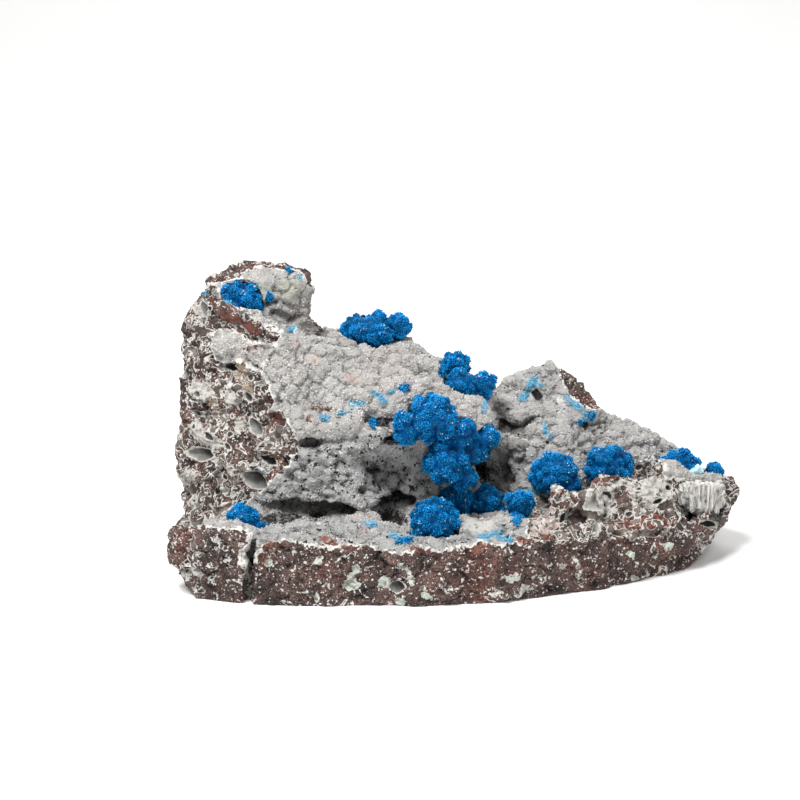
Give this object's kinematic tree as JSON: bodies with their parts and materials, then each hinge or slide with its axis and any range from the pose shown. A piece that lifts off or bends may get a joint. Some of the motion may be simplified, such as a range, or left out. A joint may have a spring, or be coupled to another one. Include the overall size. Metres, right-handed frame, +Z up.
{
  "type": "mineral specimen",
  "caption": "cavansite specimen: knobbly blue crystal rosettes on a broken lump of vesicular basalt crusted with grey zeolite, standing on its flat underside",
  "frame": {"origin": "the middle of the specimen's box, at the height of the flat underside that it stands on", "axes": "+X along the specimen's length, from the tower to the low right end; +Y to its broken back; +Z up"},
  "size_m": [0.16, 0.0888, 0.0822],
  "materials": {
    "matrix": "rough",
    "cavansite": "sparkling",
    "stilbite": "pearly",
    "blue_stilbite": "pearly"
  },
  "bodies": {
    "root": {"matrix": "matrix", "cavansite_summit": "cavansite", "cavansite_ridge": "cavansite", "cavansite_cascade": "cavansite", "cavansite_fall": "cavansite", "cavansite_foot": "cavansite", "cavansite_front": "cavansite", "cavansite_notch": "cavansite", "cavansite_rim_1": "cavansite", "cavansite_rim_2": "cavansite", "cavansite_rim_3": "cavansite", "cavansite_rim_4": "cavansite", "cavansite_corner": "cavansite", "stilbite_tuft": "stilbite", "stilbite_blade": "blue_stilbite"}
  },
  "joints": []
}
